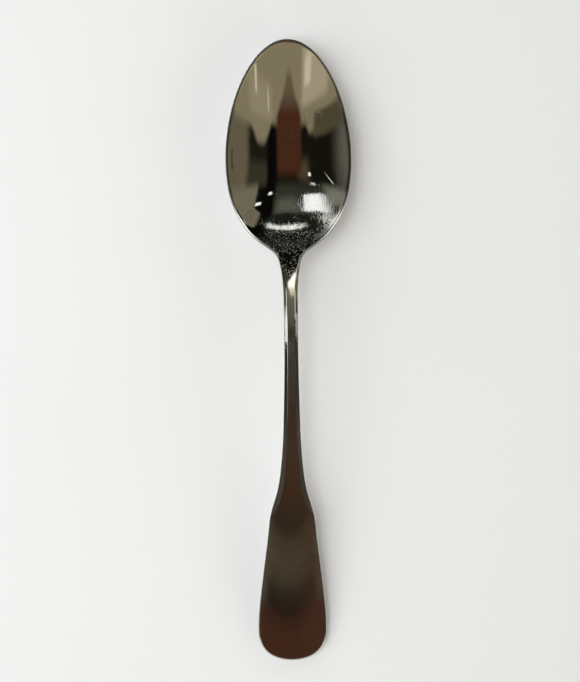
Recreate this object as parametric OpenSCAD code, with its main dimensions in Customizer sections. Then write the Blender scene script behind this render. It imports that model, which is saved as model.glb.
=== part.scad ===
// Tablespoon, fiddle pattern, stamped and polished from one piece of steel.
// Millimetres, +Z up. X runs across, +Y runs from the handle end to the bowl tip.
// The spoon lies bowl up: the back of the bowl and the handle end touch Z = 0.
// The steel is drawn as three zones that meet face to face at two flat cuts.

/* [Overall] */
// Overall length from the handle end to the bowl tip
spoon_len = 210; // [196:1:224]
// Height of the top of the arched stem above the table
arch_h = 20.2; // [19:0.1:22]

/* [Bowl] */
// Width of the bowl across the lip
bowl_w = 42.4; // [38:0.2:46]
// Depth of the bowl below its lip
bowl_depth = 11; // [9:0.5:12.5]
// Wall thickness at the middle of the bowl
bowl_wall = 1.4; // [1.2:0.1:1.8]
// Width of the rolled lip in plan
lip_w = 0.68; // [0.5:0.02:0.8]

/* [Stem] */
// Narrowest width of the stem
stem_w = 4.7; // [4.3:0.1:5.5]
// Thickness of the stem at its middle
stem_t = 3.5; // [3.2:0.1:4]
// Drop of the bevel on each side of the flat top of the stem
bevel_drop = 1; // [0.6:0.1:1.2]
// Edge radius between the bevel and the upright side of the stem
edge_r = 0.2; // [0.15:0.05:0.35]

/* [Handle] */
// Greatest width of the fiddle handle
handle_w = 23.3; // [21:0.1:25]
// Thickness of the handle near its end
handle_t = 2; // [1.8:0.1:2.4]
// Crown of the handle face, middle above the edges
handle_crown = 0.35; // [0.1:0.05:0.5]

/* [Hidden] */

half = spoon_len / 2;
kl = spoon_len / 210;              // stretch of every station along the length
neck_y = 33 * kl;                  // cut between bowl and stem
shoulder_y = -53 * kl;             // cut between stem and handle
tip_run = 58 * kl;                 // length over which the bowl tip closes
end_run = 12.5 * kl;               // length over which the handle end closes
lip_soft = 0.45;                   // how softly the lip rolls into the wall
columns = 12;                      // half the number of columns across

// half-width stations [y, half-width]; the two ends close through their runs
hw = handle_w / 23.3;
sw = stem_w / 4.7;
bo = bowl_w / 42.4;
width_st = [
  [-105, 11.7 * hw], [-96, 11.65 * hw], [-88, 11.4 * hw], [-78, 10.3 * hw],
  [-68, 9 * hw], [-60, 8 * hw], [-55, 7.4 * hw], [-51.5, 6.55 * hw],
  [-48, 5.45 * (hw + sw) / 2], [-44, 4.5 * (hw + sw) / 2], [-38, 3.7 * sw],
  [-30, 3.07 * sw], [-18, 2.66 * sw], [0, 2.34 * sw], [14, 2.4 * sw],
  [22, 2.58 * sw], [27, 3.05 * sw], [30, 3.6 * sw], [32.5, 4.8 * (sw + bo) / 2],
  [35, 7.9 * bo], [38, 11.9 * bo], [41.5, 15 * bo], [45, 17.15 * bo],
  [50, 19.3 * bo], [57, 20.8 * bo], [66, 21.55 * bo], [76, 21.55 * bo],
  [88, 20.95 * bo], [97, 20.2 * bo], [105, 19.45 * bo]];

// height stations of the lip and of the top face [y, z]
rim = bowl_depth + bowl_wall;
height_st = [
  [-105, handle_t - 0.22], [-95, arch_h * 0.199], [-80, arch_h * 0.3615],
  [-60, arch_h * 0.5695], [-45, arch_h * 0.7205], [-30, arch_h * 0.8565],
  [-15, arch_h * 0.958], [0, arch_h * 1.0025], [12, arch_h * 0.9775],
  [22, arch_h * 0.906], [30, arch_h * 0.819], [38, rim + 2.5],
  [46, rim + 1.35], [54, rim + 0.6], [64, rim + 0.03], [76, rim - 0.4],
  [90, rim - 0.73], [105, rim - 0.9]];

// thickness stations [y, t]
thick_st = [
  [-105, handle_t - 0.1], [-80, handle_t + 0.1], [-60, handle_t + 0.4],
  [-45, stem_t - 0.7], [-30, stem_t - 0.4], [-10, stem_t - 0.1],
  [10, stem_t + 0.1], [22, stem_t + 0.3], [30, stem_t + 0.2], [36, stem_t - 0.5],
  [42, bowl_wall + 0.8], [50, bowl_wall + 0.25], [66, bowl_wall],
  [90, bowl_wall - 0.15], [105, bowl_wall - 0.25]];

// plan width stations of the bevel beside the flat top [y, width]
bevel_st = [
  [-56, 0.9], [-52, 1.6], [-49, 2.1], [-46, 2.2], [-40, 1.75], [-30, 1.45],
  [-18, 1.25], [0, 1.1], [16, 1.1], [26, 1], [34, 0.8], [44, 0.6], [56, 0.5]];

// largest edge radius [y, r]: sharp on the stem, full round on bowl and handle end
edge_st = [
  [-105, 1], [-95, 0.95], [-85, 0.75], [-72, 0.5], [-58, edge_r + 0.1],
  [-46, edge_r + 0.02], [-30, edge_r], [0, edge_r], [20, edge_r], [27, edge_r + 0.05],
  [33, 0.45], [38, 0.7], [46, 1], [60, 1.25], [80, 1.4], [105, 1.4]];

// share of the full bowl depth [y, share]: the hollow runs out into the neck
share_st = [
  [8, 0], [20, 0.03], [26, 0.1], [30, 0.25], [33, 0.45], [36, 0.56], [39, 0.61],
  [42, 0.72], [45, 0.815], [49, 0.89], [53, 0.935], [57, 0.97], [61, 0.99],
  [67, 1], [80, 1], [105, 1]];

// ---- smooth curve through stations (natural cubic) ----
function gap(t, i) = t[i + 1][0] - t[i][0];
function kink(t, i) = 6 * ((t[i + 1][1] - t[i][1]) / gap(t, i)
                         - (t[i][1] - t[i - 1][1]) / gap(t, i - 1));
function down(t, i = 0, c = 0, d = 0, acc = []) =
  i > len(t) - 2 ? acc :
  i == 0 ? down(t, 1, 0, 0, [[0, 0]]) :
  let (p = 2 * (gap(t, i - 1) + gap(t, i)) - gap(t, i - 1) * c,
       c1 = gap(t, i) / p,
       d1 = (kink(t, i) - gap(t, i - 1) * d) / p)
  down(t, i + 1, c1, d1, concat(acc, [[c1, d1]]));
function up(cd, i, m, acc) =
  i < 0 ? acc :
  let (v = i == 0 ? 0 : cd[i][1] - cd[i][0] * m)
  up(cd, i - 1, v, concat([v], acc));
function bends(t) = let (cd = down(t)) up(cd, len(t) - 2, 0, [0]);
function span(t, y, i = 0) =
  i >= len(t) - 2 || y < t[i + 1][0] ? i : span(t, y, i + 1);
function curve(t, m, y) =
  let (i = span(t, y), h = gap(t, i), a = t[i + 1][0] - y, b = y - t[i][0])
  (m[i] * a * a * a + m[i + 1] * b * b * b) / (6 * h)
  + (t[i][1] / h - m[i] * h / 6) * a + (t[i + 1][1] / h - m[i + 1] * h / 6) * b;
function pitch(t, m, y) =
  let (i = span(t, y), h = gap(t, i), a = t[i + 1][0] - y, b = y - t[i][0])
  (m[i + 1] * b * b - m[i] * a * a) / (2 * h)
  - (t[i][1] / h - m[i] * h / 6) + (t[i + 1][1] / h - m[i + 1] * h / 6);

width_m = bends(width_st);
height_m = bends(height_st);
thick_m = bends(thick_st);
bevel_m = bends(bevel_st);
share_m = bends(share_st);
edge_m = bends(edge_st);

// ---- soft steps ----
function clamp(v, lo, hi) = min(max(v, lo), hi);
function ease(a, b, y) = let (t = clamp((y - a) / (b - a), 0, 1))
  t * t * t * (t * (6 * t - 15) + 10);
function hinge(v, e) = v < -e ? 0 : v > e ? v : (v + e) * (v + e) / (4 * e);
function closing(v) = v > 0 ? 1 - v * v * v : 1;
function dclosing(v) = v > 0 ? -3 * v * v : 0;

// ---- everything that depends on the station y only ----
// s = [half-width squared, its slope, height, thickness, bevel width,
//      bevel drop, rise of the back, crown, share of the bowl, half-width,
//      half-width before the ends close, largest edge radius]
function station(y) =
  let (n = y / kl,
       g = curve(width_st, width_m, n),
       g1 = pitch(width_st, width_m, n) / kl,
       vt = 1 - (half - y) / tip_run, ve = 1 - (half + y) / end_run,
       ct = closing(vt), ce = closing(ve),
       q = max(g * g * ct * ce, 0),
       q1 = 2 * g * g1 * ct * ce
          + g * g * (dclosing(vt) / tip_run * ce - dclosing(ve) / end_run * ct))
  [q, q1, curve(height_st, height_m, n), curve(thick_st, thick_m, n),
   curve(bevel_st, bevel_m, clamp(n, -56, 56)),
   bevel_drop * ease(-57, -50, n) * (1 - ease(14, 46, n)),
   0.15 + 0.95 * ease(-70, -30, n) * (1 - ease(16, 36, n)),
   handle_crown * (1 - ease(-62, -40, n)),
   curve(share_st, share_m, clamp(n, 8, 105)), sqrt(q), g,
   curve(edge_st, edge_m, n)];

// top and back at x before the edge is rounded, and the distance to the edge
function faces_at(s, x) =
  let (a2 = bowl_w * bowl_w / 4,
       f = max(s[0] - x * x, 0) / a2,
       gr = sqrt(s[1] * s[1] + 4 * x * x),
       dep = bowl_depth * f * s[8],
       slo = bowl_depth * gr / a2 * s[8],
       u = abs(x) / s[10],
       v = (abs(x) - s[9] + s[4]) / s[4])
  [s[2] - hinge(dep - lip_w * slo, lip_soft) - s[5] * hinge(v, 0.22)
     - s[7] * u * u,
   s[2] - dep + lip_w * slo - s[3] * sqrt(1 + slo * slo) + s[6] * u * u,
   max(s[0] - x * x, 0) / max(gr, 0.000001)];

// rounded section: top face z and back face z at x
function rounded(s, x) =
  let (e = faces_at(s, s[9]), r = clamp((e[0] - e[1]) / 2, 0.001, s[11]),
       p = faces_at(s, x), k = clamp(r - p[2], 0, r),
       d = r - sqrt(max(r * r - k * k, 0)))
  [p[0] - d, p[1] + d];

// one closed ring of points at station y: top from -X to +X, then the back
function ring(y) =
  let (s = station(y), c = columns,
       xs = [for (j = [-c:c]) s[9] * sin(90 * j / c)],
       z = [for (x = xs) rounded(s, x)])
  concat([for (j = [0:2 * c]) [xs[j], y, z[j][0]]],
         [for (j = [2 * c - 1:-1:1]) [xs[j], y, z[j][1]]]);

// the point where an end closes
function pole(y) = let (s = station(y), e = faces_at(s, 0)) [0, y, (e[0] + e[1]) / 2];

// stations between two cuts, closer together at both ends
function rows(y0, y1, n) = [for (i = [0:n]) y0 + (y1 - y0) * (1 - cos(180 * i / n)) / 2];

// flat cut through a ring
function cut(o, flip) = let (c = columns, m = 4 * c)
  [for (j = [0:2 * c - 1])
     let (t0 = o + j, t1 = o + j + 1,
          b0 = o + (m - j) % m, b1 = o + m - j - 1,
          tri = j == 0 ? [[t0, t1, b1]] :
                j == 2 * c - 1 ? [[t0, t1, b0]] : [[t0, t1, b1], [t0, b1, b0]])
     for (f = tri) flip ? [f[2], f[1], f[0]] : f];

// solid between y0 and y1; an end that lies on a pole closes to a point
module zone(y0, y1, n, pole0 = false, pole1 = false) {
  ys = rows(y0, y1, n);
  k0 = pole0 ? 1 : 0;
  k1 = pole1 ? n - 1 : n;
  m = 4 * columns;
  cnt = k1 - k0 + 1;
  pts = concat([for (k = [k0:k1]) each ring(ys[k])],
               pole0 ? [pole(y0)] : [], pole1 ? [pole(y1)] : []);
  p0 = cnt * m;
  p1 = p0 + (pole0 ? 1 : 0);
  last = (cnt - 1) * m;
  sides = [for (k = [0:cnt - 2], a = [0:m - 1])
             let (b = (a + 1) % m, i = k * m + a, j = k * m + b)
             for (f = [[i, j + m, j], [i, i + m, j + m]]) f];
  lo = pole0 ? [for (a = [0:m - 1]) [p0, a, (a + 1) % m]] : cut(0, false);
  hi = pole1 ? [for (a = [0:m - 1]) [p1, last + (a + 1) % m, last + a]]
             : cut(last, true);
  polyhedron(points = pts, faces = concat(sides, lo, hi), convexity = 6);
}

// egg-shaped bowl from the neck to the tip
module bowl() {
  color([0.62, 0.6, 0.56]) zone(neck_y, half, 60, pole1 = true);
}

// arched stem with a flat top and a bevel each side
module stem() {
  color([0.55, 0.53, 0.5]) zone(shoulder_y, neck_y, 48);
}

// fiddle handle with a crowned face and a turned-down end
module handle() {
  color([0.5, 0.47, 0.44]) zone(-half, shoulder_y, 44, pole0 = true);
}

bowl();
stem();
handle();
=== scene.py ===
import math

import bpy
import numpy as np
from mathutils import Matrix, Vector


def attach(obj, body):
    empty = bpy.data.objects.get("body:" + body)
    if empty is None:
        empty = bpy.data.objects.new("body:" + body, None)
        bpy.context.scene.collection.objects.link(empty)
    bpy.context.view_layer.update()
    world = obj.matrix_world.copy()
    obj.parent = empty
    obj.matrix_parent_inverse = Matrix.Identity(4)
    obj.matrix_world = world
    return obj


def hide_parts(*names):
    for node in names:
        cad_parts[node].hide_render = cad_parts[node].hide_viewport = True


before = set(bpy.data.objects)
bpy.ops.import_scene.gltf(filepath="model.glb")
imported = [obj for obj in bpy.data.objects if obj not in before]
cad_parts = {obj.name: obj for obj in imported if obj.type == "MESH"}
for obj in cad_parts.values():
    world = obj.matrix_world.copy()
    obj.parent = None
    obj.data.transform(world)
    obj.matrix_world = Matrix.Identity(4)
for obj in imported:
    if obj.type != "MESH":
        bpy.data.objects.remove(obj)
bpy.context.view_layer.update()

MM = 0.001

# ---------------------------------------------------------------- the spoon's surface
# The same stations and formulas as the CAD part, in millimetres, sampled finely.
HALF = 105.0
ARCH = 20.2
DEPTH, WALL, LIP, LIP_SOFT = 11.0, 1.4, 0.68, 0.45
RIM = DEPTH + WALL
BOWL_HALF2 = 21.2 ** 2
HANDLE_T, STEM_T, CROWN, BEVEL = 2.0, 3.5, 0.35, 1.0
TIP_RUN, END_RUN = 58.0, 12.5
NECK_Y, SHOULDER_Y = 33.0, -53.0

WIDTH = [(-105, 11.7), (-96, 11.65), (-88, 11.4), (-78, 10.3), (-68, 9.0), (-60, 8.0),
         (-55, 7.4), (-51.5, 6.55), (-48, 5.45), (-44, 4.5), (-38, 3.7), (-30, 3.07),
         (-18, 2.66), (0, 2.34), (14, 2.4), (22, 2.58), (27, 3.05), (30, 3.6),
         (32.5, 4.8), (35, 7.9), (38, 11.9), (41.5, 15.0), (45, 17.15), (50, 19.3),
         (57, 20.8), (66, 21.55), (76, 21.55), (88, 20.95), (97, 20.2), (105, 19.45)]
HEIGHT = [(-105, HANDLE_T - 0.22), (-95, ARCH * 0.199), (-80, ARCH * 0.3615),
          (-60, ARCH * 0.5695), (-45, ARCH * 0.7205), (-30, ARCH * 0.8565),
          (-15, ARCH * 0.958), (0, ARCH * 1.0025), (12, ARCH * 0.9775),
          (22, ARCH * 0.906), (30, ARCH * 0.819), (38, RIM + 2.5), (46, RIM + 1.35),
          (54, RIM + 0.6), (64, RIM + 0.03), (76, RIM - 0.4), (90, RIM - 0.73),
          (105, RIM - 0.9)]
THICK = [(-105, HANDLE_T - 0.1), (-80, HANDLE_T + 0.1), (-60, HANDLE_T + 0.4),
         (-45, STEM_T - 0.7), (-30, STEM_T - 0.4), (-10, STEM_T - 0.1),
         (10, STEM_T + 0.1), (22, STEM_T + 0.3), (30, STEM_T + 0.2), (36, STEM_T - 0.5),
         (42, WALL + 0.8), (50, WALL + 0.25), (66, WALL), (90, WALL - 0.15),
         (105, WALL - 0.25)]
BEVEL_W = [(-56, 0.9), (-52, 1.6), (-49, 2.1), (-46, 2.2), (-40, 1.75), (-30, 1.45),
           (-18, 1.25), (0, 1.1), (16, 1.1), (26, 1.0), (34, 0.8), (44, 0.6), (56, 0.5)]
EDGE_R = [(-105, 1), (-95, 0.95), (-85, 0.75), (-72, 0.5), (-58, 0.3), (-46, 0.22), (-30, 0.2),
          (0, 0.2), (20, 0.2), (27, 0.25), (33, 0.45), (38, 0.7), (46, 1), (60, 1.25),
          (80, 1.4), (105, 1.4)]
SHARE = [(8, 0), (20, 0.03), (26, 0.1), (30, 0.25), (33, 0.45), (36, 0.56), (39, 0.61),
         (42, 0.72), (45, 0.815), (49, 0.89), (53, 0.935), (57, 0.97), (61, 0.99),
         (67, 1), (80, 1), (105, 1)]


class Curve:
    """Natural cubic through stations, with its slope."""

    def __init__(self, table):
        t = np.array(table, float)
        self.x, self.y = t[:, 0], t[:, 1]
        self.h = np.diff(self.x)
        n = len(t)
        a, r = np.eye(n), np.zeros(n)
        for i in range(1, n - 1):
            a[i, i - 1:i + 2] = self.h[i - 1], 2 * (self.h[i - 1] + self.h[i]), self.h[i]
            r[i] = 6 * ((self.y[i + 1] - self.y[i]) / self.h[i]
                        - (self.y[i] - self.y[i - 1]) / self.h[i - 1])
        self.m = np.linalg.solve(a, r)

    def parts(self, q):
        i = np.clip(np.searchsorted(self.x, q) - 1, 0, len(self.x) - 2)
        h, m0, m1 = self.h[i], self.m[i], self.m[i + 1]
        return (self.x[i + 1] - q, q - self.x[i], h, m0, m1,
                self.y[i] / h - m0 * h / 6, self.y[i + 1] / h - m1 * h / 6)

    def __call__(self, q):
        a, b, h, m0, m1, c0, c1 = self.parts(np.asarray(q, float))
        return (m0 * a ** 3 + m1 * b ** 3) / (6 * h) + c0 * a + c1 * b

    def slope(self, q):
        a, b, h, m0, m1, c0, c1 = self.parts(np.asarray(q, float))
        return (m1 * b ** 2 - m0 * a ** 2) / (2 * h) - c0 + c1


width, height, thick, bevel_w = Curve(WIDTH), Curve(HEIGHT), Curve(THICK), Curve(BEVEL_W)
share, edge_r = Curve(SHARE), Curve(EDGE_R)


def ease(a, b, v):
    t = np.clip((v - a) / (b - a), 0, 1)
    return t ** 3 * (t * (6 * t - 15) + 10)


def hinge(v, e):
    return np.where(v < -e, 0, np.where(v > e, v, (v + e) ** 2 / (4 * e)))


def closing(v):
    return np.where(v > 0, 1 - np.clip(v, 0, 1) ** 3, 1.0)


def closing_slope(v):
    return np.where(v > 0, -3 * np.clip(v, 0, 1) ** 2, 0.0)


def outline(y):
    """Half-width squared and its slope along Y."""
    g, g1 = width(y), width.slope(y)
    vt, ve = 1 - (HALF - y) / TIP_RUN, 1 - (HALF + y) / END_RUN
    ct, ce = closing(vt), closing(ve)
    q = np.maximum(g * g * ct * ce, 0)
    q1 = (2 * g * g1 * ct * ce
          + g * g * (closing_slope(vt) / TIP_RUN * ce - closing_slope(ve) / END_RUN * ct))
    return q, q1


def faces(x, y, q, q1):
    """Top and back before the edge is rounded, and the distance to the edge."""
    half = np.sqrt(np.maximum(q, 1e-12))
    bowl = share(np.clip(y, 8, 105))
    f = np.maximum(q - x * x, 0) / BOWL_HALF2
    grad = np.sqrt(q1 * q1 + 4 * x * x)
    dep = DEPTH * f * bowl
    slo = DEPTH * grad / BOWL_HALF2 * bowl
    u = np.abs(x) / width(y)
    b = bevel_w(np.clip(y, -56, 56))
    v = (np.abs(x) - half + b) / b
    drop = BEVEL * ease(-57, -50, y) * (1 - ease(14, 46, y))
    rise = 0.15 + 0.95 * ease(-70, -30, y) * (1 - ease(16, 36, y))
    crown = CROWN * (1 - ease(-62, -40, y))
    z = height(y)
    top = z - hinge(dep - LIP * slo, LIP_SOFT) - drop * hinge(v, 0.22) - crown * u * u
    back = z - dep + LIP * slo - thick(y) * np.sqrt(1 + slo * slo) + rise * u * u
    return top, back, np.maximum(q - x * x, 0) / np.maximum(grad, 1e-6)


def surface(t, y):
    """Point at ring angle t (top for cos t > 0, back below) and station y, and its distance to the edge."""
    q, q1 = outline(y)
    half = np.sqrt(q)
    x = half * np.sin(t)
    te, be, _ = faces(half, y, q, q1)
    r = np.clip((te - be) / 2, 0.001, edge_r(y))
    top, back, edge = faces(x, y, q, q1)
    k = np.clip(r - edge, 0, r)
    d = r - np.sqrt(np.maximum(r * r - k * k, 0))
    z = np.where(np.cos(t) >= 0, top - d, back + d)
    return np.stack([x, y + 0 * x, z], -1), edge


def ring_grid(ys, columns):
    """Points, normals and edge distances of closed rings at the stations ys."""
    t = -math.pi / 2 + math.pi * np.arange(2 * columns * 2) / (2 * columns)
    tt, yy = np.meshgrid(t, ys)
    points, edge = surface(tt, yy)
    ht = 1e-5
    hy = np.minimum(1e-3, 0.1 * (HALF - np.abs(yy)))
    along_t = surface(tt + ht, yy)[0] - surface(tt - ht, yy)[0]
    along_y = surface(tt, yy + hy)[0] - surface(tt, yy - hy)[0]
    normal = np.cross(along_t, along_y)
    normal /= np.maximum(np.linalg.norm(normal, axis=-1, keepdims=True), 1e-30)
    return points, normal, edge


def zone_mesh(name, y0, y1, n, columns, pole0=False, pole1=False):
    """Closed mesh of the spoon between two stations, with the whole spoon's normals."""
    ys = y0 + (y1 - y0) * (1 - np.cos(math.pi * np.arange(n + 1) / n)) / 2
    ys = ys[1 if pole0 else 0: n if pole1 else n + 1]
    points, normals, edge = ring_grid(ys, columns)
    rings, m = points.shape[:2]
    verts, norms = points.reshape(-1, 3), normals.reshape(-1, 3)
    edge = edge.reshape(-1)
    i = np.arange(rings - 1)[:, None] * m + np.arange(m)[None, :]
    j = np.arange(rings - 1)[:, None] * m + (np.arange(m) + 1)[None, :] % m
    quads = np.stack([i, j, j + m, i + m], -1).reshape(-1, 4).tolist()
    polys, corner = list(quads), [norms[k] for f in quads for k in f]

    def pole(y, first, flip):
        z = faces(np.array(0.0), np.array(y), *outline(np.array(y)))
        tip = np.array([0.0, y, (float(z[0]) + float(z[1])) / 2])
        outward = np.array([0.0, math.copysign(1.0, y), 0.0])
        index = len(tips) + rings * m
        tips.append(tip)
        for a in range(m):
            b = (a + 1) % m
            f = (index, first + b, first + a) if flip else (index, first + a, first + b)
            polys.append(f)
            corner.extend(outward if k == index else norms[k] for k in f)

    def cut(first, flip):
        half = m // 2
        way = np.array([0.0, 1.0 if flip else -1.0, 0.0])
        for a in range(half):
            t0, t1 = first + a, first + a + 1
            b0, b1 = first + (m - a) % m, first + m - a - 1
            f = [t0, t1, b1, b0]
            f = [k for s, k in enumerate(f) if k not in f[:s]]
            f = f if flip else f[::-1]
            flat.append(len(polys))
            polys.append(tuple(f))
            corner.extend([way] * len(f))

    tips, flat = [], []
    if pole0:
        pole(y0, 0, True)
    else:
        cut(0, False)
    if pole1:
        pole(y1, (rings - 1) * m, False)
    else:
        cut((rings - 1) * m, True)
    if tips:
        verts = np.concatenate([verts, np.array(tips)])
        edge = np.concatenate([edge, np.zeros(len(tips))])
    mesh = bpy.data.meshes.new(name)
    mesh.from_pydata((verts * MM).tolist(), [], polys)
    smooth = np.ones(len(polys), bool)
    smooth[flat] = False
    mesh.polygons.foreach_set("use_smooth", smooth)
    near = mesh.attributes.new("edge", "FLOAT", "POINT")
    near.data.foreach_set("value", np.exp(-edge / 0.9).astype(np.float32))
    mesh.update()
    mesh.normals_split_custom_set([tuple(v) for v in corner])
    piece = bpy.data.objects.new(name, mesh)
    bpy.context.scene.collection.objects.link(piece)
    return piece


# ---------------------------------------------------------------- small node helper
class Nodes:
    """Short calls that add a node, set its inputs and return its output."""

    def __init__(self, tree):
        self.tree = tree
        tree.nodes.clear()

    def add(self, kind, out=0, props=None, **inputs):
        n = self.tree.nodes.new(kind)
        for key, value in (props or {}).items():
            setattr(n, key, value)
        for key, value in inputs.items():
            s = n.inputs[int(key[1:])] if key[0] == "i" and key[1:].isdigit() else n.inputs[key.replace("_", " ")]
            if isinstance(value, bpy.types.NodeSocket):
                self.tree.links.new(value, s)
            else:
                s.default_value = value
        return n.outputs[out]

    def math(self, op, a, b=0.0, c=0.0):
        return self.add("ShaderNodeMath", props={"operation": op}, i0=a, i1=b, i2=c)

    def step(self, v, a, b, lo=0.0, hi=1.0):
        """Smooth step of v from lo at a to hi at b."""
        return self.add("ShaderNodeMapRange", props={"interpolation_type": "SMOOTHSTEP"},
                        Value=v, From_Min=a, From_Max=b, To_Min=lo, To_Max=hi)

    def band(self, v, a, b, soft):
        return self.math("MULTIPLY", self.step(v, a - soft, a + soft),
                         self.step(v, b - soft, b + soft, 1.0, 0.0))

    def mix(self, f, a, b):
        n = self.tree.nodes.new("ShaderNodeMix")
        n.data_type = "RGBA"
        for key, value in ((0, f), (6, a), (7, b)):
            if isinstance(value, bpy.types.NodeSocket):
                self.tree.links.new(value, n.inputs[key])
            else:
                n.inputs[key].default_value = value
        return n.outputs[2]

    def noise(self, vector, scale, detail=2.0, rough=0.5, distortion=0.0):
        return self.add("ShaderNodeTexNoise", Vector=vector, Scale=scale, Detail=detail,
                        Roughness=rough, Distortion=distortion)

    def place(self, vector, scale=(1, 1, 1), turn=(0, 0, 0), move=(0, 0, 0)):
        return self.add("ShaderNodeMapping", Vector=vector, Location=move, Rotation=turn, Scale=scale)


def linear(r, g, b):
    """sRGB 0-255 to linear, with alpha."""
    out = [c / 255 / 12.92 if c <= 10.3 else ((c / 255 + 0.055) / 1.055) ** 2.4 for c in (r, g, b)]
    return (*out, 1.0)


STEEL = (0.645, 0.63, 0.60)


def seen(r, g, b):
    """Light that the steel mirrors as this sRGB tone."""
    return (*[c / k for c, k in zip(linear(r, g, b), STEEL)], 1.0)


# ---------------------------------------------------------------- polished steel
def steel_material():
    mat = bpy.data.materials.new("polished_steel")
    mat.use_nodes = True
    n = Nodes(mat.node_tree)
    pos = n.add("ShaderNodeTexCoord", out=3)
    xyz = n.tree.nodes.new("ShaderNodeSeparateXYZ")
    n.tree.links.new(pos, xyz.inputs[0])
    x, y = xyz.outputs[0], xyz.outputs[1]
    edge = n.add("ShaderNodeAttribute", out=2, props={"attribute_name": "edge"})

    handle = n.step(y, -0.040, -0.062)
    bowl = n.step(y, 0.038, 0.046)
    tail = n.math("SUBTRACT", y, n.math("MULTIPLY", n.math("MAXIMUM", n.math("SUBTRACT", x, 0.006), 0.0), 0.35))
    neck = n.math("MULTIPLY", n.math("MULTIPLY", n.step(y, 0.0245, 0.0300), n.step(tail, 0.0375, 0.0410, 1.0, 0.0)), n.step(x, -0.0125, -0.0085))
    # the flat of the rolled lip, just inside the outline
    lip = n.math("MULTIPLY", n.band(edge, 0.42, 0.82, 0.07), n.step(y, 0.030, 0.040))

    # soft waviness of the polished sheet
    broad = n.math("MULTIPLY", n.noise(pos, 70.0, 1.0), n.step(y, 0.042, 0.060, 0.35, 1.0))
    ripple = n.noise(n.place(pos, (1, 0.5, 1)), 330.0, 1.0)
    # lengthwise polishing lines, strongest where the bowl is rubbed
    lines = n.noise(n.place(pos, (2100, 36, 900)), 1.0, 2.0, 0.65)
    rubbed = n.math("MULTIPLY", bowl, n.math("MULTIPLY", n.step(x, -0.008, 0.006), n.step(y, 0.064, 0.050)))
    line_amount = n.math("ADD", n.math("MULTIPLY", rubbed, 3.2), 0.12)
    streaks = n.math("MULTIPLY", n.step(n.noise(n.place(pos, (2600, 60, 900), (0, 0, 0.02), (4.4, 0, 0)), 1.0, 1.0, 0.6), 0.56, 0.68),
                     n.math("MULTIPLY", n.step(x, -0.010, 0.002), n.math("MULTIPLY", n.step(y, 0.062, 0.053), bowl)))
    # long single scratches, three directions
    scratches = None
    for angle, scale, seed in ((0.16, (1100, 20, 600), 3.1), (-0.3, (950, 24, 600), 7.7), (0.75, (1000, 30, 600), 1.9)):
        v = n.noise(n.place(pos, scale, (0, 0, angle), (seed, seed, 0)), 1.0, 0.0)
        line = n.step(n.math("ABSOLUTE", n.math("SUBTRACT", v, 0.60)), 0.0, 0.010, 1.0, 0.0)
        scratches = line if scratches is None else n.math("MAXIMUM", scratches, line)
    worn = n.step(n.noise(n.place(pos, (1, 1, 1), (0, 0, 0), (0.3, 0, 0)), 130.0, 1.0), 0.58, 0.70)
    scratches = n.math("MULTIPLY", n.math("MULTIPLY", scratches, worn), n.step(y, -0.046, -0.030))
    # small pits, many at the neck and a few on the upper stem
    def nicks(scale, amount, near, far):
        v = n.tree.nodes.new("ShaderNodeTexVoronoi")
        n.tree.links.new(pos, v.inputs["Vector"])
        v.inputs["Scale"].default_value = scale
        c = n.tree.nodes.new("ShaderNodeSeparateColor")
        n.tree.links.new(v.outputs["Color"], c.inputs[0])
        return n.math("MULTIPLY", n.step(v.outputs["Distance"], near, far, 1.0, 0.0),
                      n.step(c.outputs[0], 1 - amount - 0.01, 1 - amount))
    upper = n.math("MULTIPLY", n.step(y, -0.001, 0.003), n.step(y, 0.010, 0.014, 1.0, 0.0))
    pits = n.math("MULTIPLY", n.math("MAXIMUM", nicks(2600.0, 0.40, 0.10, 0.50), nicks(1500.0, 0.12, 0.05, 0.36)),
                  n.math("MAXIMUM", neck, n.math("MULTIPLY", upper, 0.7)))
    grain = n.math("MULTIPLY", n.noise(pos, 1900.0, 2.0, 0.65), neck)
    # one deep scratch on the right wall of the bowl
    along = n.math("ADD", n.math("MULTIPLY", x, 550.0), n.math("ADD", n.math("MULTIPLY", y, -835.0), 0.55 * -12.3 + 0.835 * 61.0))
    across = n.math("ADD", n.math("MULTIPLY", x, 835.0), n.math("ADD", n.math("MULTIPLY", y, 550.0), -0.835 * 12.3 - 0.55 * 61.0))
    groove = n.math("MULTIPLY", n.step(n.math("ABSOLUTE", across), 0.0, 0.24, 1.0, 0.0), n.band(along, 0.0, 5.3, 0.4))

    # the wall leans back a little just inside the lip
    lean = n.math("MULTIPLY", n.step(edge, 0.07, 0.42), n.math("MULTIPLY", bowl, n.step(y, 0.092, 0.080)))
    bump = n.add("ShaderNodeBump", Strength=1.0, Distance=1.1e-4, Height=broad)
    bump = n.add("ShaderNodeBump", props={"invert": True}, Strength=1.0, Distance=5e-5, Height=lean, Normal=bump)
    bump = n.add("ShaderNodeBump", Strength=1.0, Distance=1.4e-5, Height=ripple, Normal=bump)
    bump = n.add("ShaderNodeBump", Strength=1.0, Distance=7e-6, Height=n.math("MULTIPLY", lines, line_amount), Normal=bump)
    bump = n.add("ShaderNodeBump", props={"invert": True}, Strength=1.0, Distance=7e-6, Height=streaks, Normal=bump)
    bump = n.add("ShaderNodeBump", props={"invert": True}, Strength=1.0, Distance=1.2e-5, Height=scratches, Normal=bump)
    bump = n.add("ShaderNodeBump", props={"invert": True}, Strength=1.0, Distance=5e-5, Height=pits, Normal=bump)
    bump = n.add("ShaderNodeBump", Strength=1.0, Distance=1.6e-5, Height=grain, Normal=bump)
    bump = n.add("ShaderNodeBump", props={"invert": True}, Strength=1.0, Distance=8e-5, Height=groove, Normal=bump)

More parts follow.
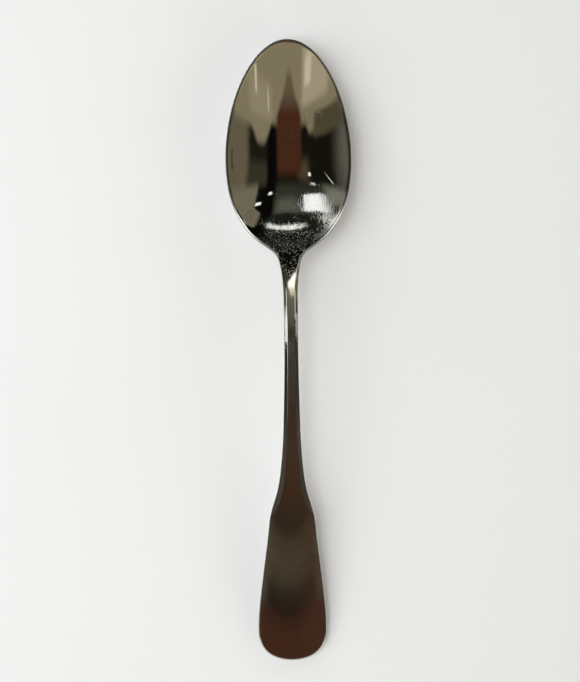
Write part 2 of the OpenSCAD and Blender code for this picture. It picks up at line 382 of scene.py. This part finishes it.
    # smudges make the handle hazier, edges and scratches are a little rougher
    haze = n.step(n.noise(pos, 95.0, 3.0, 0.6), 0.35, 0.75)
    rough = n.math("ADD", n.math("MULTIPLY", handle, 0.07), 0.03)
    rough = n.math("ADD", rough, n.math("MULTIPLY", haze, n.math("ADD", n.math("MULTIPLY", handle, 0.05), 0.02)))
    rough = n.math("ADD", rough, n.math("MULTIPLY", edge, 0.05))
    rough = n.math("ADD", rough, n.math("MULTIPLY", lip, n.step(y, 0.044, 0.050, 0.12, 0.30)))
    rough = n.math("ADD", rough, n.math("MULTIPLY", scratches, 0.2))
    rough = n.math("ADD", rough, n.math("MULTIPLY", neck, 0.02))

    tint = n.mix(n.noise(pos, 130.0, 3.0), (0.665, 0.65, 0.62, 1), (0.625, 0.61, 0.58, 1))
    tint = n.mix(n.math("MULTIPLY", haze, n.math("MULTIPLY", handle, 0.5)), tint, (0.56, 0.53, 0.49, 1))
    mottle = n.math("MULTIPLY", n.step(n.noise(pos, 620.0, 4.0, 0.6), 0.40, 0.66), n.math("ADD", n.math("MULTIPLY", handle, 0.30), 0.05))
    tint = n.mix(mottle, tint, (0.50, 0.47, 0.42, 1))
    # painted shade: the steel's colour at the neck and heel is taken almost to black, standing in for a dark reflection
    # there
    tint = n.mix(n.math("MULTIPLY", neck, 0.88), tint, (0.075, 0.085, 0.075, 1))
    # painted highlight: pits are paler than the steel so their glints stay bright against the painted shade of the neck
    tint = n.mix(n.math("MULTIPLY", pits, 0.72), tint, (0.76, 0.77, 0.73, 1))
    # painted highlight and painted shade: the lip of the heel is painted pale for a bright line, the lip of the bowl
    # dark for a dark rim line
    tint = n.mix(n.math("MULTIPLY", lip, 0.8), tint, n.mix(n.step(y, 0.044, 0.050), (0.90, 0.90, 0.87, 1), (0.36, 0.39, 0.39, 1)))

    shader = n.tree.nodes.new("ShaderNodeBsdfPrincipled")
    shader.inputs["Metallic"].default_value = 1.0
    n.tree.links.new(tint, shader.inputs["Base Color"])
    n.tree.links.new(rough, shader.inputs["Roughness"])
    n.tree.links.new(bump, shader.inputs["Normal"])
    out = n.tree.nodes.new("ShaderNodeOutputMaterial")
    n.tree.links.new(shader.outputs[0], out.inputs[0])
    return mat


steel = steel_material()
pieces = {
    "bowl": zone_mesh("spoon_bowl", NECK_Y, HALF, 240, 66, pole1=True),
    "stem": zone_mesh("spoon_stem", SHOULDER_Y, NECK_Y, 200, 66),
    "handle": zone_mesh("spoon_handle", -HALF, SHOULDER_Y, 170, 66, pole0=True),
}
for node, piece in pieces.items():
    piece.data.materials.append(steel)
    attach(piece, "root")
    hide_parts(node)


# ---------------------------------------------------------------- pale floor
def floor_object():
    bpy.ops.mesh.primitive_circle_add(vertices=96, radius=12.0, fill_type="NGON", location=(0, 0, -0.00002))
    floor = bpy.context.object
    floor.name = "floor"
    mat = bpy.data.materials.new("pale_floor")
    mat.use_nodes = True
    n = Nodes(mat.node_tree)
    pos = n.add("ShaderNodeTexCoord", out=3)
    tone = n.noise(pos, 9.0, 3.0)
    tint = n.mix(tone, (0.80, 0.80, 0.80, 1), (0.825, 0.825, 0.823, 1))
    bump = n.add("ShaderNodeBump", Strength=0.15, Distance=2e-5, Height=n.noise(pos, 1500.0, 2.0))
    shader = n.tree.nodes.new("ShaderNodeBsdfPrincipled")
    shader.inputs["Roughness"].default_value = 1.0
    shader.inputs["Specular IOR Level"].default_value = 0.0
    n.tree.links.new(tint, shader.inputs["Base Color"])
    n.tree.links.new(bump, shader.inputs["Normal"])
    out = n.tree.nodes.new("ShaderNodeOutputMaterial")
    n.tree.links.new(shader.outputs[0], out.inputs[0])
    floor.data.materials.append(mat)
    return floor


floor_object()


def backdrop_object():
    """Plain pale wall around the floor for low views, glowing by itself, with painted shade darker at its foot; neither
    mirrored in the steel nor lighting it.
    """
    turns = [2 * math.pi * k / 96 for k in range(96)]
    ring = [(1.5 * math.cos(t), 1.5 * math.sin(t), z) for z in (0.0, 2.5) for t in turns]
    mesh = bpy.data.meshes.new("backdrop")
    mesh.from_pydata(ring, [], [(k, (k + 1) % 96, 96 + (k + 1) % 96, 96 + k) for k in range(96)])
    wall = bpy.data.objects.new("backdrop", mesh)
    bpy.context.scene.collection.objects.link(wall)
    mat = bpy.data.materials.new("pale_backdrop")
    mat.use_nodes = True
    n = Nodes(mat.node_tree)
    sep = n.tree.nodes.new("ShaderNodeSeparateXYZ")
    n.tree.links.new(n.add("ShaderNodeTexCoord", out=3), sep.inputs[0])
    # painted shade: the glowing wall is darker at its foot and paler from 0.4 m up
    tone = n.mix(n.step(sep.outputs[2], 0.0, 0.4), linear(188, 188, 185), linear(226, 226, 223))
    glow = n.add("ShaderNodeEmission", Color=tone, Strength=1.0)
    out = n.tree.nodes.new("ShaderNodeOutputMaterial")
    n.tree.links.new(glow, out.inputs[0])
    mesh.materials.append(mat)
    wall.visible_diffuse = wall.visible_glossy = wall.visible_shadow = False
    return wall


backdrop_object()


# ---------------------------------------------------------------- studio surroundings
def heading(px, py):
    """Unit vector for a place on the sky map: degrees from the zenith along X and Y."""
    r = math.hypot(px, py)
    t = math.radians(r)
    s = math.sin(t) / r if r > 1e-9 else 0.0
    return Vector((px * s, py * s, math.cos(t)))


def studio_world():
    """Dim warm room of soft plain zones, placed by the angle from the zenith."""
    world = bpy.data.worlds.new("studio")
    bpy.context.scene.world = world
    world.use_nodes = True
    n = Nodes(world.node_tree)
    way = n.add("ShaderNodeVectorMath", props={"operation": "NORMALIZE"}, i0=n.add("ShaderNodeTexCoord", out=0))
    sep = n.tree.nodes.new("ShaderNodeSeparateXYZ")
    n.tree.links.new(way, sep.inputs[0])
    dx, dy, dz = sep.outputs
    level = n.math("MAXIMUM", n.math("SQRT", n.math("ADD", n.math("MULTIPLY", dx, dx), n.math("MULTIPLY", dy, dy))), 0.001)
    tilt = n.math("MULTIPLY", n.math("ARCCOSINE", dz), 180 / math.pi)
    px = n.math("MULTIPLY", tilt, n.math("DIVIDE", dx, level))
    py = n.math("MULTIPLY", tilt, n.math("DIVIDE", dy, level))

    def both(*masks):
        m = masks[0]
        for k in masks[1:]:
            m = n.math("MULTIPLY", m, k)
        return m

    def line(a, b, c=0.0):
        """a * px + b * py + c"""
        return n.math("ADD", n.math("ADD", n.math("MULTIPLY", px, a), n.math("MULTIPLY", py, b)), c)

    sky = n.mix(n.step(py, 28.0, 42.0), seen(19, 18, 12), seen(46, 47, 37))
    sky = n.mix(both(n.step(px, 20.0, 30.0), n.step(px, 56.0, 48.0)), sky, seen(9, 8, 7))
    sky = n.mix(both(n.band(px, -14.0, 22.0, 7.0), n.step(py, 43.0, 58.0), n.step(py, 72.0, 63.0)), sky, seen(80, 84, 71))
    sky = n.mix(n.step(py, 67.5, 69.5), sky, seen(24, 27, 21))
    sky = n.mix(both(n.band(px, -38.0, -20.0, 6.0), n.band(py, 12.0, 30.0, 8.0)), sky, seen(72, 62, 46))
    sky = n.mix(both(n.band(px, 41.0, 80.0, 3.0), n.step(py, 40.0, 30.0)), sky, n.mix(n.step(py, 8.0, 20.0), seen(27, 25, 18), seen(51, 49, 36)))
    # olive wall low on the right
    sky = n.mix(n.step(px, 65.0, 73.0), sky, seen(93, 87, 67))
    low = n.math("ADD", px, n.math("MULTIPLY", n.math("MAXIMUM", n.math("SUBTRACT", py, 54.0), 0.0), 0.9))
    olive = n.math("MAXIMUM", n.step(low, 51.5, 54.5), both(n.step(px, 40.0, 45.0), n.step(tilt, 75.4, 76.2)))
    sky = n.mix(both(olive, n.step(py, 28.0, 38.0)), sky, seen(108, 102, 84))
    # grey wall low on the left
    sky = n.mix(n.step(px, -66.0, -88.0), sky, seen(95, 92, 80))
    sky = n.mix(both(n.step(px, -50.0, -62.0), n.step(py, 29.0, 38.0), n.step(line(-0.545, 1.0), 85.2, 83.6)), sky, seen(112, 111, 99))
    # khaki side towards -Y, paler on the left of it
    rise = n.math("ADD", n.math("ADD", py, n.math("MULTIPLY", n.band(px, 42.0, 60.0, 6.0), -6.5)), n.math("MULTIPLY", n.band(px, -37.0, 36.0, 4.0), 5.0))
    sky = n.mix(n.step(rise, -2.0, -8.0), sky, seen(124, 114, 90))
    sky = n.mix(both(n.band(px, 32.0, 66.0, 5.0), n.band(py, -25.0, -11.0, 3.0)), sky, seen(138, 128, 103))
    sky = n.mix(both(n.band(px, -64.0, -26.0, 4.0), n.step(py, -15.0, -21.0)), sky, seen(156, 145, 119))
    sky = n.mix(both(n.band(px, -40.0, -30.0, 3.0), n.band(py, -33.0, -25.0, 2.0)), sky, seen(190, 178, 152))
    sky = n.mix(both(n.band(px, -82.0, -47.0, 3.0), n.band(py, -12.0, -2.0, 2.0)), sky, seen(72, 66, 49))
    sky = n.mix(both(n.band(px, 55.3, 58.2, 0.8), n.band(py, -29.0, -20.0, 2.0)), sky, seen(186, 176, 152))
    sky = n.mix(both(n.band(px, 36.8, 38.8, 0.6), n.band(py, -24.0, -15.0, 2.0)), sky, seen(176, 167, 141))
    # warm brown overhead, narrowing towards -Y
    reach = n.math("ADD", n.step(py, -33.0, -11.0, 0.0, 21.0), 4.0)
    wedge = both(n.step(n.math("SUBTRACT", n.math("ABSOLUTE", n.math("ADD", px, 1.0)), reach), 4.0, -4.0),
                 n.step(py, -34.0, -28.0), n.step(py, 34.0, 16.0))
    brown = n.mix(n.step(py, -26.0, -15.0), seen(92, 79, 60), seen(66, 38, 24))
    sky = n.mix(wedge, sky, brown)
    # low towards -Y: dim in the middle, pale at both sides
    sky = n.mix(n.step(py, -41.0, -45.0), sky, n.mix(n.step(n.math("ABSOLUTE", px), 26.0, 40.0), seen(96, 88, 76), seen(226, 225, 216)))
    # window-like soft box and thin strips, mirrored in the bowl
    sky = n.mix(both(n.step(px, -60.0, -44.0), n.step(line(1.0, -0.28), -37.0, -39.5), n.step(line(-0.163, 1.0), 49.0, 51.0),
                     n.step(line(-0.233, 1.0), 71.2, 69.6)), sky, seen(243, 243, 238))
    dip = n.math("MINIMUM", n.math("MULTIPLY", n.math("SUBTRACT", px, 10.0), 0.036), 0.0)
    sky = n.mix(both(n.step(n.math("SUBTRACT", tilt, dip), 76.72, 76.92), n.band(px, -20.0, 29.0, 2.0), n.step(py, 60.0, 64.0)),
                sky, seen(240, 240, 232))
    sky = n.mix(both(n.step(line(-0.545, 1.0), 86.25, 86.45), n.band(px, -50.5, -39.0, 1.5)), sky, seen(236, 236, 226))
    for cx, cy, wide, high in ((33.5, 43.6, 2.6, 1.4), (48.5, 52.6, 3.4, 1.5), (-39.0, 24.6, 1.6, 1.5), (-43.0, 32.9, 2.2, 1.1)):
        sky = n.mix(both(n.band(px, cx - wide, cx + wide, 0.8), n.band(py, cy - high, cy + high, 0.6)), sky, seen(245, 245, 236))

    back = n.add("ShaderNodeBackground", Color=sky, Strength=1.0)
    out = n.tree.nodes.new("ShaderNodeOutputWorld")
    n.tree.links.new(back, out.inputs[0])


studio_world()


def card(name, corners, stops, along=None, side=None, curl=0.0, rims=()):
    """Plain self-lit studio card near the spoon, seen only as a mirror image; tones in steps along one axis (mm)."""
    mesh = bpy.data.meshes.new(name)
    mesh.from_pydata([tuple(v * MM for v in c) for c in corners], [], [tuple(range(len(corners)))])
    obj = bpy.data.objects.new(name, mesh)
    bpy.context.scene.collection.objects.link(obj)
    mat = bpy.data.materials.new(name)
    mat.use_nodes = True
    n = Nodes(mat.node_tree)
    tone = seen(*stops[0][1:])
    if along is not None:
        sep = n.tree.nodes.new("ShaderNodeSeparateXYZ")
        n.tree.links.new(n.add("ShaderNodeTexCoord", out=3), sep.inputs[0])
        v = sep.outputs[along]
        if curl:
            off = n.math("MINIMUM", n.math("ABSOLUTE", sep.outputs[0]), 0.020)
            v = n.math("SUBTRACT", v, n.math("MULTIPLY", n.math("MULTIPLY", off, off), curl))
        for (a, *_), (b, *rgb) in zip(stops, stops[1:]):
            tone = n.mix(n.step(v, a * MM, b * MM), tone, seen(*rgb))
        if side:
            tone = n.mix(n.math("MULTIPLY", n.step(sep.outputs[0], side[0] * MM, side[1] * MM), n.step(v, -0.030, -0.050, 0.0, 0.55)),
                         tone, seen(*side[2:]))
        for a, b, *rgb in rims:
            tone = n.mix(n.math("MULTIPLY", n.step(sep.outputs[0], a * MM, b * MM), n.band(sep.outputs[1], -0.119, -0.086, 0.006)),
                         tone, seen(*rgb))
    glow = n.add("ShaderNodeEmission", Color=tone, Strength=1.0)
    out = n.tree.nodes.new("ShaderNodeOutputMaterial")
    n.tree.links.new(glow, out.inputs[0])
    mesh.materials.append(mat)
    obj.visible_camera = obj.visible_diffuse = obj.visible_shadow = False
    return obj


# brown card low over neck, stem and handle, tones along Y
card("card_long", ((-24, 50, 60), (16, 50, 60), (60, 5, 60), (60, -160, 60), (-50, -160, 60), (-50, -42, 60), (-24, -30, 60)),
     ((50, 40, 41, 33), (45, 58, 58, 46), (37, 108, 106, 89), (31, 94, 92, 77), (20, 86, 83, 70), (10, 52, 49, 39), (3, 66, 61, 54),
      (-10, 58, 53, 46), (-20, 58, 52, 42), (-34, 57, 43, 34), (-52, 61, 47, 34), (-70, 60, 41, 28), (-78, 54, 40, 29),
      (-87, 46, 38, 28), (-95, 64, 55, 42), (-103, 70, 61, 47), (-110, 64, 55, 43), (-118, 42, 35, 26), (-125, 36, 28, 20),
      (-132, 58, 34, 24), (-139, 63, 38, 27)), 1, (3, 18, 66, 43, 31), 40.0,
     ((-12.5, -15.5, 76, 71, 57), (16.0, 19.0, 72, 63, 49)))
# dark side cards for the bevels of the stem, with a pale one beside the upper stem
card("card_left", ((-60, -140, -5), (-60, 25, -5), (-60, 25, 26.5), (-60, 4, 26.5), (-60, 4, 48), (-60, -30, 62), (-60, -140, 120)),
     ((24, 128, 124, 115), (6, 104, 100, 92), (2, 42, 39, 34), (-25, 46, 42, 37), (-48, 66, 62, 55), (-90, 68, 64, 56)), 1)
card("card_left_high", ((-60, 5, 48), (-60, 5, 86), (-60, -34, 86), (-60, -30, 62)), ((5, 232, 230, 222), (-12, 196, 193, 184), (-30, 105, 99, 90)), 1)
card("card_right", ((60, -140, -5), (60, 26, -5), (60, 26, 32), (60, -30, 62), (60, -140, 120)),
     ((25, 66, 62, 50), (8, 46, 42, 36), (-20, 52, 47, 41), (-45, 70, 65, 58), (-60, 58, 54, 48)), 1)
card("card_right_low", ((59.5, 5, -5), (59.5, 20, -5), (59.5, 20, 27), (59.5, 5, 27)), ((20, 150, 148, 138), (11, 146, 144, 134), (5, 60, 56, 48)), 1)
card("card_pale", ((-60, 5, 26.5), (-60, 25, 26.5), (-60, 25, 90), (-60, 5, 90)), ((0, 245, 243, 234),))
# small white cards for the lip of the heel
for name, x0, x1, y0, y1 in (("card_lip_right", 14, 46, 37.5, 50), ("card_lip_left", -46, -14, 37.5, 50), ("card_heel_right", 14, 34, 14, 27),
                             ("card_heel_left", -33, -14, 14, 27), ("card_side_right", 19, 34, 31.5, 36)):
    card(name, ((x0, y0, 30), (x1, y0, 30), (x1, y1, 30), (x0, y1, 30)), ((0, 255, 255, 246),))
card("card_neck", ((0.9, 26, 45), (13, 26, 45), (13, 29.2, 45), (26, 41.5, 45), (2.1, 41.5, 45), (0.35, 36.0, 45), (0.4, 33, 45), (0.8, 30.4, 45)),
     ((34.5, 255, 255, 244), (31.2, 205, 201, 165), (26.2, 96, 94, 78)), 1)


def panel(name, px, py, wide, high, radiance, color, distance=1.4, aim=(0, 0, 0.01)):
    """Soft rectangular light for the floor at a place on the sky map; not mirrored in the steel."""
    centre = heading(px, py)
    right = (heading(px + 0.5, py) - heading(px - 0.5, py)).normalized()
    z = centre
    x = (right - z * right.dot(z)).normalized()
    y = z.cross(x)
    data = bpy.data.lights.new(name, "AREA")
    data.shape = "RECTANGLE"
    data.size = 2 * distance * math.tan(math.radians(wide / 2))
    data.size_y = 2 * distance * math.tan(math.radians(high / 2))
    data.color = color
    data.energy = radiance * math.pi * data.size * data.size_y
    lamp = bpy.data.objects.new(name, data)
    m = Matrix((x, y, z)).transposed().to_4x4()
    m.translation = Vector(aim) + centre * distance
    lamp.matrix_world = m
    lamp.visible_camera = False
    lamp.visible_glossy = False
    bpy.context.scene.collection.objects.link(lamp)
    return lamp


panel("key", -16, -2, 20, 34, 6.4, (0.92, 0.96, 1.0), 1.2)
panel("side", -42, 0, 30, 34, 3.1, (0.92, 0.96, 1.0), 0.75)
for k in range(8):
    turn = math.radians(45 * k + 10)
    panel("low_%d" % k, 78 * math.cos(turn), 78 * math.sin(turn), 45, 14, 2.85 + 0.5 * math.cos(turn), (0.965, 0.97, 0.965), 5.0)


# ---------------------------------------------------------------- camera
# Straight above and a little to the left, turned so that the tip leans left.
EYE, AIM, ROLL, FOCAL_PX = Vector((-0.0170, -0.0009, 0.5)), Vector((-0.0001, 0.0037, 0.01)), 0.0106, 1462.7
cam = bpy.data.cameras.new("camera")
cam.sensor_fit = "VERTICAL"
cam.sensor_height = 36.0
cam.lens = FOCAL_PX / 682 * 36.0
cam.clip_start, cam.clip_end = 0.01, 100
camera = bpy.data.objects.new("camera", cam)
zc = (EYE - AIM).normalized()
xc = Vector((math.sin(ROLL), math.cos(ROLL), 0)).cross(zc).normalized()
yc = zc.cross(xc)
m = Matrix((xc, yc, zc)).transposed().to_4x4()
m.translation = EYE
camera.matrix_world = m
bpy.context.scene.collection.objects.link(camera)
bpy.context.scene.camera = camera

bpy.context.scene.view_settings.view_transform = "Standard"
bpy.context.scene.view_settings.look = "None"

bpy.context.view_layer.update()
